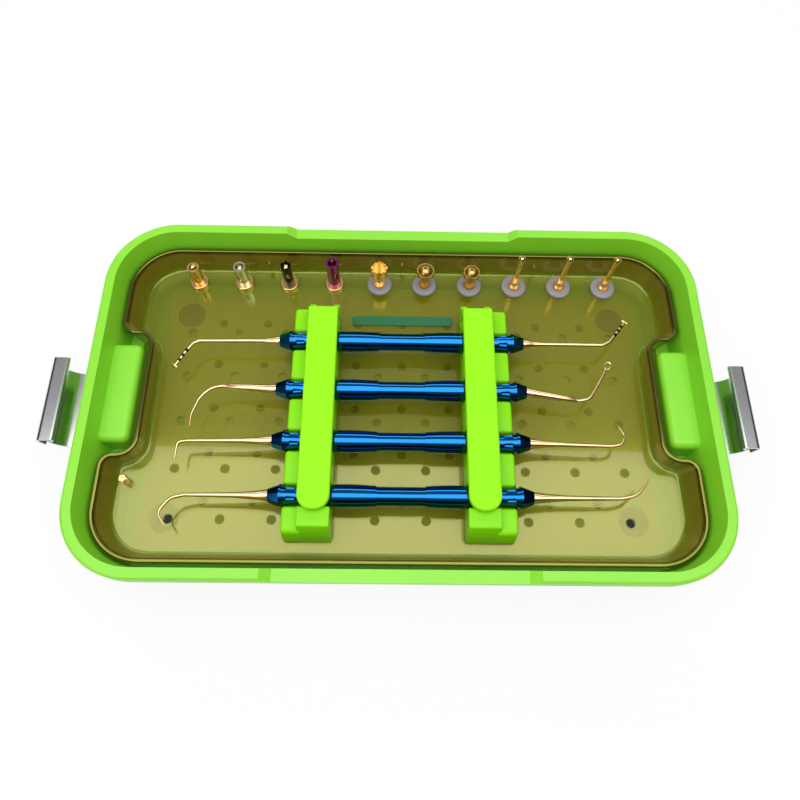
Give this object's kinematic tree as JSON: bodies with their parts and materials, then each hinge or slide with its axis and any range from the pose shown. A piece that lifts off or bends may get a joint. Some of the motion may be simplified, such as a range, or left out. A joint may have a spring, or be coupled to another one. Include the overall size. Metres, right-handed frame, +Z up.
{
  "type": "implant surgical kit",
  "caption": "Open green instrument case with an amber drain tray, strapped double-ended instruments, a row of small tools and two steel end clips.",
  "frame": {"origin": "centre of the whole kit in plan, with the clips hanging open, on the plane under the feet", "axes": "+X along the case to the right, +Y to the back where the row of tools stands, +Z up out of the open case"},
  "size_m": [0.295, 0.148, 0.0454],
  "materials": {
    "case_green": "glossy moulded plastic",
    "tray_amber": "amber see-through plastic, glossy floor",
    "silicone_lime": "smooth silicone, slight sheen",
    "silicone_grey": "smooth grey silicone",
    "stainless": "polished stainless sheet",
    "steel": "bright turned steel",
    "gold": "gold-coloured hard coating, polished",
    "anodised_blue": "blue anodised, glossy",
    "anodised_black": "black anodised, glossy",
    "anodised_purple": "purple anodised, glossy",
    "label_green": "dark green, bare"
  },
  "bodies": {
    "case": {"base_shell": "case_green", "foot_1": "silicone_lime", "foot_2": "silicone_lime", "foot_3": "silicone_lime", "foot_4": "silicone_lime", "latch_pin_left": "stainless", "latch_pin_right": "stainless"},
    "tray_set": {"tray": "tray_amber", "tray_stud": "gold", "label_plate": "label_green", "holder_left": "silicone_lime", "holder_right": "silicone_lime", "strap_pin_left": "stainless", "strap_pin_right": "stainless", "handle_1": "anodised_blue", "tip_left_1": "gold", "tip_right_1": "gold", "post_1": "gold", "handle_2": "anodised_blue", "tip_left_2": "gold", "tip_right_2": "gold", "post_2": "gold", "handle_3": "anodised_blue", "tip_left_3": "gold", "tip_right_3": "gold", "post_3": "gold", "handle_4": "anodised_blue", "tip_left_4": "gold", "tip_right_4": "gold", "post_4": "gold", "grommet_5": "silicone_grey", "grommet_6": "silicone_grey", "grommet_7": "silicone_grey", "grommet_8": "silicone_grey", "grommet_9": "silicone_grey", "grommet_10": "silicone_grey"},
    "latch_left": {"latch_left": "stainless"},
    "latch_right": {"latch_right": "stainless"},
    "strap_left": {"strap_left": "silicone_lime"},
    "strap_right": {"strap_right": "silicone_lime"},
    "sleeve_1": {"sleeve_1": "gold"},
    "sleeve_2": {"sleeve_2": "steel"},
    "sleeve_3": {"sleeve_3": "anodised_black"},
    "sleeve_4": {"sleeve_4": "anodised_purple"},
    "trephine": {"trephine": "gold"},
    "dome_reamer_6": {"dome_reamer_6": "gold"},
    "dome_reamer_7": {"dome_reamer_7": "gold"},
    "drill_8": {"drill_8": "gold"},
    "drill_9": {"drill_9": "gold"},
    "drill_10": {"drill_10": "gold"}
  },
  "joints": [
    {"name": "tray_lift", "type": "slide", "parent": "case", "child": "tray_set", "axis": [0, 0, 1], "range_m": [0, 0.045]},
    {"name": "latch_left_hinge", "type": "hinge", "parent": "case", "child": "latch_left", "pos_m": [-0.113, 0, 0.0071], "axis": [0, 1, 0], "range_deg": [0, 43]},
    {"name": "latch_right_hinge", "type": "hinge", "parent": "case", "child": "latch_right", "pos_m": [0.113, 0, 0.0071], "axis": [0, -1, 0], "range_deg": [0, 43]},
    {"name": "strap_left_hinge", "type": "hinge", "parent": "tray_set", "child": "strap_left", "pos_m": [-0.0327, 0.038, 0.028], "axis": [-1, 0, 0], "range_deg": [0, 90]},
    {"name": "strap_right_hinge", "type": "hinge", "parent": "tray_set", "child": "strap_right", "pos_m": [0.0313, 0.038, 0.028], "axis": [-1, 0, 0], "range_deg": [0, 90]},
    {"name": "sleeve_1_lift", "type": "slide", "parent": "tray_set", "child": "sleeve_1", "axis": [0, 0, 1], "range_m": [0, 0.02]},
    {"name": "sleeve_2_lift", "type": "slide", "parent": "tray_set", "child": "sleeve_2", "axis": [0, 0, 1], "range_m": [0, 0.02]},
    {"name": "sleeve_3_lift", "type": "slide", "parent": "tray_set", "child": "sleeve_3", "axis": [0, 0, 1], "range_m": [0, 0.02]},
    {"name": "sleeve_4_lift", "type": "slide", "parent": "tray_set", "child": "sleeve_4", "axis": [0, 0, 1], "range_m": [0, 0.02]},
    {"name": "trephine_lift", "type": "slide", "parent": "tray_set", "child": "trephine", "axis": [0, 0, 1], "range_m": [0, 0.02]},
    {"name": "dome_reamer_6_lift", "type": "slide", "parent": "tray_set", "child": "dome_reamer_6", "axis": [0, 0, 1], "range_m": [0, 0.02]},
    {"name": "dome_reamer_7_lift", "type": "slide", "parent": "tray_set", "child": "dome_reamer_7", "axis": [0, 0, 1], "range_m": [0, 0.02]},
    {"name": "drill_8_lift", "type": "slide", "parent": "tray_set", "child": "drill_8", "axis": [0, 0, 1], "range_m": [0, 0.02]},
    {"name": "drill_9_lift", "type": "slide", "parent": "tray_set", "child": "drill_9", "axis": [0, 0, 1], "range_m": [0, 0.02]},
    {"name": "drill_10_lift", "type": "slide", "parent": "tray_set", "child": "drill_10", "axis": [0, 0, 1], "range_m": [0, 0.02]}
  ]
}
